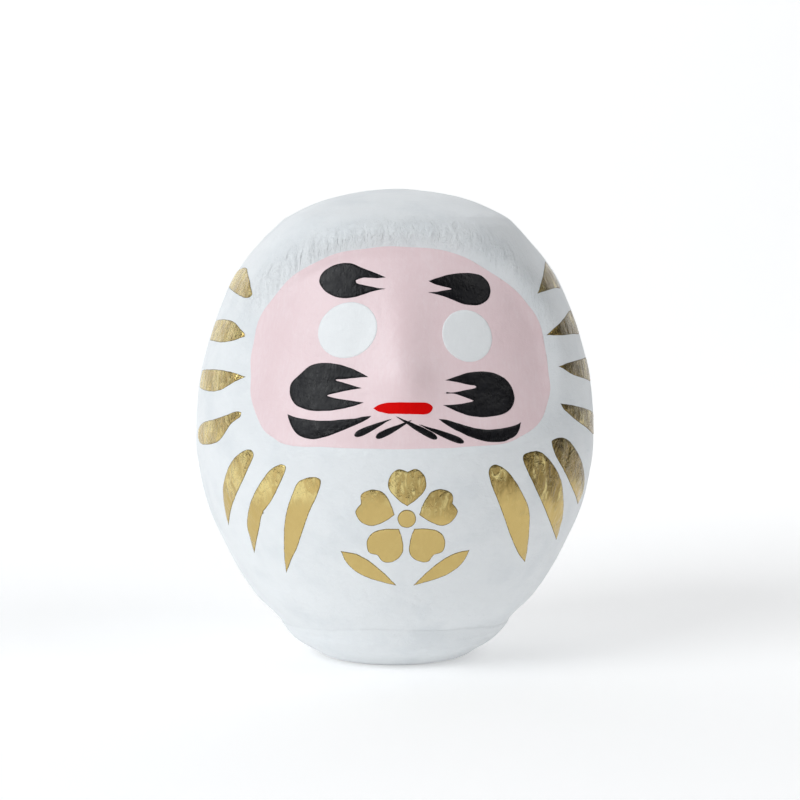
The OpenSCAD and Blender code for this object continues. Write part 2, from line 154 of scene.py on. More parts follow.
@dataclass(frozen=True)
class BodyForm:
    """The doll's outer skin, as the CAD part has it, with the small unevenness of moulded paper."""

    height: float = 120.0
    width: float = 102.0
    base_height: float = 8.0
    rim_width: float = 57.0
    face_width: float = 73.0
    face_height: float = 47.5
    face_drop: float = 14.0
    face_recess: float = 3.0
    hood_ridge: float = 1.0
    face_shift: float = -0.7
    chin_rise: float = 2.0
    lump: float = 0.35
    calm_rim: float = 4.0
    span_steps: int = 12

    LOWER = ((0, 0), (12, 3), (36, 8), (62, 16.5), (86, 27), (98, 37.5), (100, 45))
    SIDE_UPPER = (
        (98, 57), (92, 68), (82.5, 78.5), (76.3, 83.1), (69.5, 87), (61.4, 90.8), (52.5, 94), (31, 98),
        (0, 100),
    )
    FRONT_UPPER = (
        (97, 57), (93.5, 68), (88, 79), (83, 86), (79, 90.8), (75.5, 93), (68, 94.8), (42, 98.2), (0, 100),
    )
    FACE_TOP_SHARE = 0.725
    FACE_TOP_POWER = 2.3
    FACE_BOTTOM_POWER = 3.5
    SLOPE = (0.92, 1.12)
    RIDGE = (1.16, 0.08)
    CHIN_RECESS = 0.2
    MOUNDS = ((3.4, 7.0, -30, 6.5), (2.1, 6.2, 16, 11), (1.0, 10, -68, 4.5))
    FADE = 0.45
    FRONT_FROM = 0.18
    UPRIGHT = 0.35
    LUMPS = ((0.6, 24), (0.3, 9), (0.14, 4))

    @property
    def face_bottom(self) -> float:
        """Height of the painted face's lower edge."""
        return self.height - self.face_drop - self.face_height

    @property
    def face_mid(self) -> float:
        """Height of the painted face's middle."""
        return self.face_bottom + self.face_height / 2

    @property
    def face_level(self) -> float:
        """Height at which the painted face is widest."""
        return self.face_bottom + (1 - self.FACE_TOP_SHARE) * self.face_height

    def level(self, share: float) -> float:
        """The height at hundredths of the shells' height."""
        return self.base_height + (self.height - self.base_height) * share / 100

    def meridian(self, upper: Sequence[Point]) -> list[Point]:
        """The outline from the rim to the crown, as radius and height, for the given upper part."""
        rim, belly = self.rim_width / 2, self.width / 2
        points = [(mix(rim, belly, x / 100), self.level(y)) for x, y in self.LOWER]
        points += [(belly * x / 100, self.level(y)) for x, y in upper]
        return curve(points, self.span_steps, (-points[-2][0], points[-2][1]))

    def lines(self) -> tuple[list[Point], list[Point]]:
        """The outlines at the sides and down the middle of the front."""
        return self.meridian(self.SIDE_UPPER), self.meridian(self.FRONT_UPPER)

    def face_z(self, share: float) -> float:
        """The height at hundredths of the face's half height above its middle."""
        return self.face_mid + share / 100 * self.face_height / 2

    def face_reach(self, x: float, z: float) -> float:
        """How far out on the face a point is: 0 in the middle and 1 on the painted edge."""
        share, power = (
            (self.FACE_TOP_SHARE, self.FACE_TOP_POWER)
            if z > self.face_level
            else (1 - self.FACE_TOP_SHARE, self.FACE_BOTTOM_POWER)
        )
        across = abs(x - self.face_shift) / (self.face_width / 2)
        along = abs(z - self.face_level) / (share * self.face_height)
        return (across**power + along**power) ** (1 / power)

    def relief(self, x: float, z: float) -> float:
        """What stands out of the plain body at x and z, measured forwards."""
        reach = self.face_reach(x, z)
        sunk = mix(self.CHIN_RECESS, 1.0, ramp(self.face_bottom - self.chin_rise, self.face_mid, z))
        out = -self.face_recess * sunk * (1 - ramp(*self.SLOPE, reach))
        out += self.hood_ridge * sunk * bump(reach, *self.RIDGE)
        for height, across, share, along in self.MOUNDS:
            out += height * bump(x, self.face_shift, across) * bump(z, self.face_z(share), along)
        return out

    def uneven(self, point: Vector) -> Vector:
        """The point moved in or out by the body's small lumps."""
        outward = Vector((point.x, point.y, self.UPRIGHT * (point.z - self.height / 2))).normalized()
        lumps = sum(share * noise.noise(point / size) for share, size in self.LUMPS)
        keep = ramp(self.base_height, self.base_height + self.calm_rim, point.z)
        return point + outward * (self.lump * lumps * keep)

    def skin(self, side: Point, front: Point, turn: float) -> Vector:
        """A point of the skin.

        Args:
            side: The outline's radius and height at the sides, on the point's row.
            front: The same down the middle of the front.
            turn: The point's turn from the middle of the front, in radians.

        Returns:
            The point, in millimetres.
        """
        ahead = max(0.0, math.cos(turn))
        blend = ramp(self.FRONT_FROM, 1, ahead)
        radius, z = mix(side[0], front[0], blend), mix(side[1], front[1], blend)
        x = radius * math.sin(turn)
        y = -radius * math.cos(turn) - self.relief(x, z) * ramp(0, self.FADE, ahead)
        return self.uneven(Vector((x, y, z)))

    def radius_at(self, z: float) -> float:
        """The radius of the side outline at a height."""
        side = self.lines()[0]
        for (r0, z0), (r1, z1) in zip(side, side[1:]):
            if z <= z1:
                return mix(r0, r1, max(0.0, z - z0) / (z1 - z0))
        return 0.0


# ---- edit-mode helpers ----


def active(obj: Object) -> Object:
    """Makes obj the only selected object, and the active one."""
    bpy.ops.object.select_all(action="DESELECT")
    obj.select_set(True)
    bpy.context.view_layer.objects.active = obj
    return obj


def added(name: str) -> Object:
    """Names the primitive that was just added."""
    obj = bpy.context.active_object
    obj.name = name
    obj.data.name = name
    return obj


def in_edit_mode(obj: Object, work: Callable[[], None]) -> None:
    """Runs work on obj in edit mode, with everything selected."""
    active(obj)
    bpy.ops.object.mode_set(mode="EDIT")
    bpy.ops.mesh.select_all(action="SELECT")
    work()
    bpy.ops.object.mode_set(mode="OBJECT")


def welded(distance: float) -> None:
    """In edit mode, merges corners that are closer than the distance and turns the faces outwards."""
    bpy.ops.mesh.select_all(action="SELECT")
    bpy.ops.mesh.remove_doubles(threshold=distance)
    bpy.ops.mesh.select_all(action="SELECT")
    bpy.ops.mesh.normals_make_consistent(inside=False)


def apply_all(obj: Object) -> None:
    """Applies the object's modifiers in order, then its place."""
    active(obj)
    for modifier in list(obj.modifiers):
        bpy.ops.object.modifier_apply(modifier=modifier.name)
    bpy.ops.object.transform_apply(location=True, rotation=True, scale=True)


def add_modifier(obj: Object, kind: str, **settings: Any) -> bpy.types.Modifier:
    """Adds a modifier with its settings."""
    modifier = obj.modifiers.new(kind.title(), kind)
    for key, value in settings.items():
        setattr(modifier, key, value)
    return modifier


def smooth_by_angle(obj: Object, degrees: float) -> None:
    """Shades obj smooth, but for edges sharper than the angle."""
    active(obj)
    bpy.ops.object.shade_smooth_by_angle(angle=math.radians(degrees))


def finished(obj: Object, material: Material, nodes: Iterable[str]) -> None:
    """Dresses a piece, hangs it under the root body and hides the CAD nodes it stands for."""
    obj.data.materials.clear()
    obj.data.materials.append(material)
    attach(obj, "root")
    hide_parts(*nodes)
    LOG.info("%s: %d faces", obj.name, len(obj.data.polygons))


# ---- shader maths ----


class Value:
    """A number that changes over a surface, for use in Python expressions."""

    def __init__(self, bench: Bench, socket: Socket) -> None:
        """Wraps an output socket of a bench's node."""
        self.bench = bench
        self.socket = socket

    def _math(self, operation: str, *values: Value | float, clamp: bool = False) -> Value:
        """Adds a Math node that works on the values."""
        settings = {"operation": operation, "use_clamp": clamp}
        return self.bench.number("ShaderNodeMath", settings, dict(enumerate(values)))

    def __add__(self, other: Value | float) -> Value:
        """self + other."""
        return self._math("ADD", self, other)

    __radd__ = __add__

    def __sub__(self, other: Value | float) -> Value:
        """self - other."""
        return self._math("SUBTRACT", self, other)

    def __rsub__(self, other: float) -> Value:
        """other - self."""
        return self._math("SUBTRACT", other, self)

    def __mul__(self, other: Value | float) -> Value:
        """self * other."""
        return self._math("MULTIPLY", self, other)

    __rmul__ = __mul__

    def clamped(self) -> Value:
        """The value kept between 0 and 1."""
        return self._math("ADD", self, 0.0, clamp=True)

    def between(self, low: float, high: float) -> Value:
        """0 below low, 1 above high and smooth between them."""
        settings = {"interpolation_type": "SMOOTHSTEP"}
        inputs = {"Value": self, "From Min": low, "From Max": high}
        return self.bench.number("ShaderNodeMapRange", settings, inputs)


@dataclass(frozen=True)
class Grain:
    """A noise: repeats a millimetre along each axis, detail, and how deep it goes where it is a relief."""

    per_mm: Triple
    detail: float = 3
    distort: float = 0
    rough: float = 0.55
    depth: float = 0.0


class Bench:
    """Where one material's nodes are put together."""

    def __init__(self, name: str) -> None:
        """Starts a material with a Principled shader and nothing else."""
        self.material = bpy.data.materials.new(name)
        self.material.use_nodes = True
        self.tree = self.material.node_tree
        self.shader = self.tree.nodes["Principled BSDF"]
        coordinates = self.tree.nodes.new("ShaderNodeTexCoord")
        self.place = coordinates.outputs["Object"]

    def node(self, kind: str, settings: dict[str, Any], inputs: dict[str | int, Any]) -> bpy.types.Node:
        """Adds a node.

        Args:
            kind: The node's type.
            settings: Its own settings, set first.
            inputs: Values or links for its sockets, by name or number.

        Returns:
            The node.
        """
        node = self.tree.nodes.new(kind)
        for key, value in settings.items():
            setattr(node, key, value)
        for key, value in inputs.items():
            source = value.socket if isinstance(value, Value) else value
            if isinstance(source, Socket):
                self.tree.links.new(source, node.inputs[key])
            else:
                node.inputs[key].default_value = source
        return node

    def number(
        self, kind: str, settings: dict[str, Any], inputs: dict[str | int, Any], output: str | int = 0
    ) -> Value:
        """Adds a node and returns one of its outputs as a value."""
        return Value(self, self.node(kind, settings, inputs).outputs[output])

    def stretched(self, per_mm: Triple) -> Socket:
        """Object coordinates scaled to so many repeats a millimetre along each axis."""
        inputs = {"Vector": self.place, "Scale": tuple(value / MM for value in per_mm)}
        return self.node("ShaderNodeMapping", {}, inputs).outputs["Vector"]

    def axes(self) -> list[Value]:
        """The object coordinates x, y and z, in metres."""
        split = self.node("ShaderNodeSeparateXYZ", {}, {0: self.place})
        return [Value(self, output) for output in split.outputs]

    def noise(self, grain: Grain) -> Value:
        """Soft noise of the given grain, from about 0 to 1."""
        inputs = {
            "Vector": self.stretched(grain.per_mm), "Scale": 1.0, "Detail": grain.detail,
            "Roughness": grain.rough, "Distortion": grain.distort,
        }
        return self.number("ShaderNodeTexNoise", {}, inputs, "Fac")

    def cells(self, per_mm: Triple) -> Value:
        """The distance from the middle of scattered cells."""
        inputs = {"Vector": self.stretched(per_mm), "Scale": 1.0, "Randomness": 1.0}
        return self.number("ShaderNodeTexVoronoi", {"feature": "F1"}, inputs, "Distance")

    def attribute(self, name: str) -> Value:
        """A piece's own number attribute."""
        return self.number("ShaderNodeAttribute", {"attribute_name": name}, {}, "Fac")

    def rim(self) -> Value:
        """1 on the edge of a film and 0 inside its edge ring."""
        return self.attribute("edge").between(0.1, 0.9)

    def blend(self, share: Value | float, first: Sequence[float], second: Any) -> Socket:
        """A colour that goes from first to second as share goes from 0 to 1."""
        inputs = {0: share, 6: self._colour(first), 7: self._colour(second)}
        return self.node("ShaderNodeMix", {"data_type": "RGBA"}, inputs).outputs[2]

    @staticmethod
    def _colour(value: Any) -> Any:
        """A colour with its alpha, or a link as it is."""
        return (*value, 1.0) if isinstance(value, tuple) and len(value) == 3 else value

    def set(self, **inputs: Any) -> None:
        """Sets or links the shader's sockets, named with _ for a space."""
        for key, value in inputs.items():
            socket = self.shader.inputs[key.replace("_", " ")]
            source = value.socket if isinstance(value, Value) else self._colour(value)
            if isinstance(source, Socket):
                self.tree.links.new(source, socket)
            else:
                socket.default_value = source

    def relief(self, height: Value, depth: float, under: Any = None) -> Socket:
        """A normal for a height of depth millimetres where the value is 1."""
        inputs = {"Height": height, "Distance": depth * MM, "Strength": 1.0}
        if under is not None:
            inputs["Normal"] = under
        return self.node("ShaderNodeBump", {}, inputs).outputs["Normal"]


# ---- finishes ----


PAPER_LUMPS = Grain((0.22, 0.22, 0.3), 5, 0.3)


@dataclass(frozen=True)
class WhiteGround:
    """Brushed white shell-lime ground over moulded paper: satin, with lumps, brush lines and a few pits."""

    name: str = "white_ground"
    colour: Triple = (0.80, 0.825, 0.84)
    shade: Triple = (0.70, 0.735, 0.76)
    pit: Triple = (0.22, 0.19, 0.16)
    roughness: float = 0.42
    sheen: float = 0.45
    lump_depth: float = 0.42
    CLOUD = Grain((0.09, 0.09, 0.09), 4)
    STROKES = Grain((0.35, 0.35, 2.2), 4, 0.6, depth=0.07)
    SMEAR = Grain((0.55, 0.55, 0.16), 5, 1.2, 0.6, depth=1.0)
    CRINKLE = Grain((1.5, 1.5, 0.9), 4, 0.4, depth=0.3)
    DUST = Grain((2.4, 2.4, 2.4), depth=0.025)
    PITS = (0.055, 0.055, 0.055)
    PIT_RIM = (0.012, 0.03)
    SHADED = (0.42, 0.72)

    def build(self) -> Material:
        """Makes the material."""
        b = Bench(self.name)
        cloud, strokes, hood = b.noise(self.CLOUD), b.noise(self.STROKES), b.attribute("hood")
        pits = 1 - b.cells(self.PITS).between(*self.PIT_RIM)
        ground = b.blend(cloud.between(*self.SHADED) * 0.55, self.colour, self.shade)
        surface = b.relief(b.noise(PAPER_LUMPS), self.lump_depth)
        surface = b.relief(strokes, self.STROKES.depth, surface)
        surface = b.relief(b.noise(self.SMEAR) * hood, self.SMEAR.depth, surface)
        surface = b.relief(b.noise(self.CRINKLE) * hood, self.CRINKLE.depth, surface)
        surface = b.relief(b.noise(self.DUST) - pits * 4, self.DUST.depth, surface)
        b.set(Base_Color=b.blend(pits * 0.8, ground, self.pit), Normal=surface)
        b.set(Roughness=self.roughness + 0.16 * (cloud - 0.5) + 0.1 * strokes)
        b.set(Specular_IOR_Level=self.sheen)
        return b.material


@dataclass(frozen=True)
class BrushPaint:
    """Paint laid on with a brush: a little uneven in colour, with fine lines along the stroke."""

    name: str
    colour: Triple
    thin: Triple
    roughness: float = 0.42
    line_depth: float = 0.02
    sheen: float = 0.5
    film_depth: float = 0.03
    mottle: float = 0.15
    lump_depth: float = 0.25
    STROKES = Grain((1.3, 1.3, 0.22), 4, 0.8)
    CLOUD = Grain((0.12, 0.12, 0.12))
    FILM = Grain((0.8, 0.8, 0.5), 4, 0.6, 0.6)
    DUST = Grain((2.6, 2.6, 2.6), 2, depth=0.012)
    THINNED = (0.45, 0.8)

    def build(self) -> Material:
        """Makes the material."""
        b = Bench(self.name)
        strokes, cloud = b.noise(self.STROKES), b.noise(self.CLOUD)
        thinned = (strokes * 0.6 + cloud * 0.5).between(*self.THINNED)
        surface = b.relief(b.noise(PAPER_LUMPS), self.lump_depth)
        surface = b.relief(b.noise(self.FILM), self.film_depth, surface)
        surface = b.relief(strokes, self.line_depth, surface)
        surface = b.relief(b.noise(self.DUST), self.DUST.depth, surface)
        b.set(Base_Color=b.blend(thinned, self.colour, self.thin), Normal=surface)
        b.set(Roughness=self.roughness + self.mottle * (strokes + cloud - 1.0) + 0.3 * b.rim())
        b.set(Specular_IOR_Level=self.sheen)
        return b.material


@dataclass(frozen=True)
class GoldLeaf:
    """Shiny metal leaf with a dark edge: smooth low on the belly and wrinkled above, with painted dark
    reflection and painted glints on the wrinkled part, and painted shade in its creases and towards the
    right.
    """

    name: str = "gold_leaf"
    colour: Triple = (0.58, 0.43, 0.165)
    # Painted glints: a lighter colour laid on the wrinkled leaf where folds and creases meet.
    painted_glint_tone: Triple = (0.86, 0.72, 0.32)
    # Painted shade: the darker colour that stands for the dark reflection on the wrinkled upper part, the
    # shade in the creases and the shade towards the right.
    painted_shade_tone: Triple = (0.10, 0.064, 0.013)
    edge: Triple = (0.07, 0.055, 0.02)
    roughness: float = 0.13
    # Height in mm where the leaf turns wrinkled and takes its painted dark reflection, and how far that
    # border wavers.
    crinkle_and_shade_above: Point = (43.0, 49.0)
    crinkle_and_shade_sway: float = 22.0
    # Painted shade across the doll, in mm from its middle: none on the left, full on the right, with a
    # wavering border.
    painted_shade_across: Point = (-40.0, 40.0)
    painted_shade_sway: float = 40.0
    BORDER = Grain((0.07, 0.07, 0.07))
    CREASES = Grain((0.6, 0.6, 0.26), 5, 1.6, 0.6, depth=0.42)
    FOLDS = Grain((0.2, 0.2, 0.1), 4, 1.0)
    WAVES = Grain((0.16, 0.16, 0.16), 4, 0.5, depth=0.9)
    DUST = Grain((3.0, 3.0, 3.0), depth=0.015)
    CELLS = (0.45, 0.45, 0.22)
    GLINTS = (0.43, 0.58)

    def build(self) -> Material:
        """Makes the material."""
        b = Bench(self.name)
        x, _, z = b.axes()
        creases, folds = b.noise(self.CREASES), b.noise(self.FOLDS)
        sway = (b.noise(self.BORDER) - 0.5) * self.crinkle_and_shade_sway
        # Wrinkled upper part of the leaf: real creases in its relief, and where its painted dark reflection
        # and glints go.
        crinkled_and_shaded = (z * (1 / MM) + sway).between(*self.crinkle_and_shade_above)
        wrinkles = (creases * 0.65 + b.cells(self.CELLS) * 0.35) * (0.1 + 0.9 * crinkled_and_shaded)
        surface = b.relief(b.noise(self.WAVES), self.WAVES.depth)
        surface = b.relief(wrinkles, self.CREASES.depth, surface)
        surface = b.relief(b.noise(self.DUST), self.DUST.depth, surface)
        # Painted shade that darkens the leaf towards the right.
        painted_shade_right = (x * (1 / MM) + (folds - 0.5) * self.painted_shade_sway).between(*self.painted_shade_across)
        # Painted shade: darker towards the right and in the creases.
        shaded = (0.18 + 0.72 * painted_shade_right + 2.4 * (creases - 0.52)).clamped()
        # Painted glints, fewer where the painted shade is.
        glints = (folds * 0.5 + creases * 0.5 - 0.07 * painted_shade_right).between(*self.GLINTS)
        # Painted dark reflection and shade on the wrinkled upper part, then painted glints on it.
        leaf = b.blend(shaded * (0.04 + 0.86 * crinkled_and_shaded), self.colour, self.painted_shade_tone)
        leaf = b.blend(glints * (0.12 + 0.88 * crinkled_and_shaded) * 0.75, leaf, self.painted_glint_tone)
        rim = b.rim()
        b.set(Base_Color=b.blend(rim * 0.8, leaf, self.edge), Metallic=1.0, Normal=surface)
        b.set(Roughness=self.roughness + 0.06 * crinkled_and_shaded + 0.2 * rim)
        return b.material


@dataclass(frozen=True)
class DullStuff:
    """An unpainted stuff with a soft, matte, grainy face, such as card or clay."""

    name: str
    colour: Triple
    dark: Triple
    grain: float
    depth: float
    roughness: float = 0.9
    DARKENED = (0.35, 0.7)

    def build(self) -> Material:
        """Makes the material."""
        b = Bench(self.name)
        cloud = b.noise(Grain((self.grain * 0.2,) * 3, 4))
        fibres = b.noise(Grain((self.grain, self.grain * 0.3, self.grain), 5, 0.5))
        darkened = (cloud * 0.5 + fibres * 0.5).between(*self.DARKENED)
        b.set(Base_Color=b.blend(darkened, self.colour, self.dark))
        b.set(Normal=b.relief(fibres, self.depth), Roughness=self.roughness - 0.1 * fibres)
        return b.material


class Finishes:
    """Every material of the doll, made once."""

    def __init__(self) -> None:
        """Makes the materials."""
        self.white = WhiteGround().build()
        self.pink = BrushPaint("pink_paint", (0.83, 0.65, 0.67), (0.86, 0.70, 0.72)).build()
        self.eye = BrushPaint("eye_white", (0.82, 0.84, 0.85), (0.85, 0.87, 0.88), line_depth=0.015).build()
        self.black = BrushPaint(
            "black_paint", (0.002, 0.002, 0.003), (0.006, 0.006, 0.009),
            roughness=0.32, line_depth=0.05, sheen=0.2, film_depth=0.14, mottle=0.5,
        ).build()
        self.red = BrushPaint(
            "red_paint", (0.68, 0.001, 0.001), (0.74, 0.002, 0.001), roughness=0.6, sheen=0.06,
        ).build()
        self.gold = GoldLeaf().build()
        self.card = DullStuff("bare_card", (0.50, 0.39, 0.26), (0.38, 0.29, 0.19), 1.6, 0.08).build()
        self.clay = DullStuff("bare_clay", (0.26, 0.16, 0.10), (0.19, 0.115, 0.07), 0.7, 0.12).build()


# ---- the paper body ----


@dataclass
class PaperBody:
    """The two moulded shells, and the plain skin that films are pressed on."""

    form: BodyForm
    wall: float = 2.2
    columns: int = 120
    FRONT = (-90, 90)
    BACK = (90, 270)
    HOOD_BAND = (1.1, 0.09)
    HOOD_RISE = (-6, 18)
    WELD = 0.00001

    def sheet(self, name: str, start: float, end: float) -> Object:
        """A half of the skin, as an open sheet with its faces outwards.

        Args:
            name: The object's name.
            start: The turn of the first column, in degrees from the middle of the front.
            end: The turn of the last column.

        Returns:
            The sheet, with the share of the hood in a number attribute.
        """
        form = self.form
        side, front = form.lines()
        rows = len(side) - 1
        bpy.ops.mesh.primitive_grid_add(x_subdivisions=self.columns, y_subdivisions=rows, size=2)
        sheet = added(name)
        hood: list[float] = []
        for vertex in sheet.data.vertices:
            share, climb = (vertex.co.x + 1) / 2, (vertex.co.y + 1) / 2
            row = min(rows, round(climb * rows))
            point = form.skin(side[row], front[row], math.radians(mix(start, end, share)))
            vertex.co = point * MM
            low, high = (form.face_mid + rise for rise in self.HOOD_RISE)
            raised = ramp(low, high, point.z) * (point.y < 0)
            hood.append(bump(form.face_reach(point.x, point.z), *self.HOOD_BAND) * raised)
        sheet.data.attributes.new("hood", "FLOAT", "POINT").data.foreach_set("value", hood)
        in_edit_mode(sheet, lambda: welded(self.WELD))
        widest = max(sheet.data.polygons, key=lambda face: abs(face.center.x) + abs(face.center.y))
        if widest.normal.dot(Vector((widest.center.x, widest.center.y, 0))) < 0:
            in_edit_mode(sheet, lambda: bpy.ops.mesh.flip_normals())
        return sheet

    def shell(self, node: str, turns: Point, material: Material) -> None:
        """A half shell with its wall, dressed, with its CAD node hidden."""
        shell = self.sheet(node + "_painted", *turns)
        add_modifier(shell, "SOLIDIFY", thickness=self.wall * MM, offset=-1.0, use_even_offset=False)
        apply_all(shell)
        smooth_by_angle(shell, 40)
        finished(shell, material, [node])

    def build(self, finishes: Finishes) -> Object:
        """Makes both shells, and returns the front skin that films are pressed on."""
        self.shell("front_shell", self.FRONT, finishes.white)
        self.shell("back_shell", self.BACK, finishes.white)
        return self.sheet("film_skin", *self.FRONT)


@dataclass
class WeightedBase:
    """The wrapped weight under the shells, whose wrap climbs a little over the shells' edge."""

    form: BodyForm
    foot_width: float = 34.0
    wrap: float = 0.8
    sole: float = 0.8
    climb: float = 1.3
    front_climb: float = 3.4
    lip: float = 0.5
    proud: float = 0.28
    sunk: float = 0.3
    lump: float = 0.5
    BOWL = ((-6, -9), (16, -4), (40, 17), (74, 50), (92, 78), (100, 100))
    BOWL_AFTER = (104, 125)
    BOWL_STEPS = 6
    LIP_STEPS = 6
    SPIN_STEPS = 180
    WELD = 0.000005
    SWAYS = ((0.45, 2.3), (0.25, 7))
    LUMPS = ((1, 16), (0.4, 6))

    def profile(self) -> list[Point]:
        """The wrap's cut: up outside the bowl and the lip, and down inside, as radius and height."""
        foot, rim, top = self.foot_width / 2, self.form.rim_width / 2, self.form.base_height
        bowl = curve(self.BOWL, self.BOWL_STEPS, self.BOWL_AFTER)
        outer = [(mix(foot, rim, x / 100), mix(self.sole, top, y / 100)) for x, y in bowl]
        inner = [(x - self.wrap, y) for x, y in outer]
        lip = [(rim, top + (i + 1) / self.LIP_STEPS) for i in range(self.LIP_STEPS)]
        under = [(rim - self.lip, z) for _, z in reversed(lip[:-1])]
        return [*outer, *lip, *under, *reversed(inner)]

    def on_shells(self, point: Vector, around: Vector) -> Vector:
        """A point of the lip, laid on the shells' edge: its outside proud and its inside sunk."""
        up = point.z - self.form.base_height
        ahead = max(0.0, -around.y)
        sway = sum(share * noise.noise(around * bends) for share, bends in self.SWAYS)
        z = self.form.base_height + up * (mix(self.climb, self.front_climb, ahead * ahead) + sway)
        outside = Vector((point.x, point.y, 0)).length > (self.form.rim_width - self.lip) / 2
        lift = self.proud * (1 - 0.8 * up**3) if outside else -self.sunk
        return self.form.uneven(around * (self.form.radius_at(z) + lift) + Vector((0, 0, z)))

    def settled(self, point: Vector) -> Vector:
        """A point of the wrap, laid on the shells' edge or lumped where it stands free."""
        top = self.form.base_height
        around = Vector((point.x, point.y, 0)).normalized()
        if point.z > top:
            return self.on_shells(point, around)
        near = ramp(top - 1.5, top, point.z)
        free = ramp(self.sole - 0.4, 3, point.z) * (1 - near)
        lumps = sum(share * noise.noise(point / size) for share, size in self.LUMPS)
        return point + around * (near * self.proud + self.lump * lumps * free)

    def build(self, finishes: Finishes, nodes: dict[str, Object]) -> None:
        """Makes the wrap, and dresses the CAD pieces that are hidden or flat."""
        profile = self.profile()
        bpy.ops.mesh.primitive_circle_add(vertices=len(profile), radius=0.01, fill_type="NOTHING")
        wrap = added("base_wrap_painted")
        for vertex, (x, z) in zip(wrap.data.vertices, profile):
            vertex.co = (x * MM, 0, z * MM)
        in_edit_mode(wrap, self._turn_round)
        for vertex in wrap.data.vertices:
            vertex.co = self.settled(vertex.co / MM) * MM
        smooth_by_angle(wrap, 50)
        finished(wrap, finishes.white, ["base_wrap"])
        dress = {"base_sole": finishes.white, "base_weight": finishes.clay, "seam_strip": finishes.card}
        for node, material in dress.items():
            for slot in nodes[node].material_slots:
                slot.material = material

    def _turn_round(self) -> None:
        """Spins the selected profile once round the doll's axis and closes it."""
        bpy.ops.mesh.spin(steps=self.SPIN_STEPS, angle=2 * math.pi, center=(0, 0, 0), axis=(0, 0, 1))
        welded(self.WELD)


# ---- films ----


FACING_FRONT = (math.pi / 2, 0.0, 0.0)
STAND_OFF = -70.0


@dataclass(frozen=True)
class Stuff:
    """How a film is made: thickness, edge ring, largest cell, and how far and how finely its edge strays."""

    thickness: float
    edge: float
    cell: float
    wander: float
    grain: float


@dataclass
class Film:
    """One coat of paint or piece of leaf, pressed on the skin from straight outside it."""

    node: str
    shape: list[Point]
    place: Triple
    facing: Triple
    slot: str
    stuff: Stuff
    seed: float
    above: float = 0.0


class FilmPress:
    """Cuts films to their outlines and presses them on the doll's skin."""

    WELD = 0.000002
    RIM_SHARE = 0.15

    def __init__(self, skin: Object) -> None:
        """Takes the open skin that the films lie on."""
        self.skin = skin

    def cut(self, film: Film) -> Object:
        """The film flat on the ground plane, with a ring along its edge and small cells inside."""
        shape = hand_drawn(film.shape, film.stuff.wander, film.stuff.grain, film.seed)
        bpy.ops.mesh.primitive_circle_add(vertices=len(shape), radius=0.01, fill_type="NGON")
        piece = added(film.node + "_film")
        for vertex, (x, y) in zip(piece.data.vertices, shape):
            vertex.co = (x * MM, y * MM, 0)

        def divide() -> None:
            bpy.ops.mesh.inset(thickness=film.stuff.edge * MM, depth=0)
            for normal, along in zip(((1, 0, 0), (0, 1, 0)), zip(*shape)):
                low, high = min(along), max(along)
                cuts = int((high - low) / film.stuff.cell)
                for i in range(1, cuts + 1):
                    at = low + (high - low) * i / (cuts + 1)
                    bpy.ops.mesh.select_all(action="SELECT")
                    bpy.ops.mesh.bisect(plane_co=[part * at * MM for part in normal], plane_no=normal)
            welded(self.WELD)

        in_edit_mode(piece, divide)
        if sum(face.normal.z * face.area for face in piece.data.polygons) < 0:
            in_edit_mode(piece, lambda: bpy.ops.mesh.flip_normals())
        return piece

    def press(self, film: Film, material: Material) -> Object:
        """Makes the film's piece.

        Args:
            film: The film.
            material: Its finish.

        Returns:
            The finished piece, with 1 on its edge in a number attribute.
        """
        piece = self.cut(film)
        rim = self._rim(piece)
        edge = piece.data.attributes.new("edge", "FLOAT", "POINT")
        edge.data.foreach_set("value", [float(v.index in rim) for v in piece.data.vertices])
        body = piece.vertex_groups.new(name="full")
        body.add([v.index for v in piece.data.vertices if v.index not in rim], 1.0, "REPLACE")
        piece.location = Vector(film.place) * MM
        piece.rotation_euler = film.facing
        add_modifier(
            piece, "SHRINKWRAP", target=self.skin, wrap_method="PROJECT", wrap_mode="ABOVE_SURFACE",
            offset=film.above * MM, use_project_z=True,
            use_negative_direction=True, use_positive_direction=False,
        )
        add_modifier(
            piece, "SOLIDIFY", thickness=film.stuff.thickness * MM, offset=1.0, vertex_group="full",
            thickness_vertex_group=self.RIM_SHARE,
        )
        apply_all(piece)
        smooth_by_angle(piece, 70)
        finished(piece, material, [film.node])
        return piece

    @staticmethod
    def _rim(piece: Object) -> set[int]:
        """The corners on the film's open edge."""
        uses: dict[tuple[int, int], int] = {}
        for face in piece.data.polygons:
            for key in face.edge_keys:
                uses[key] = uses.get(key, 0) + 1
        return {corner for key, count in uses.items() if count == 1 for corner in key}


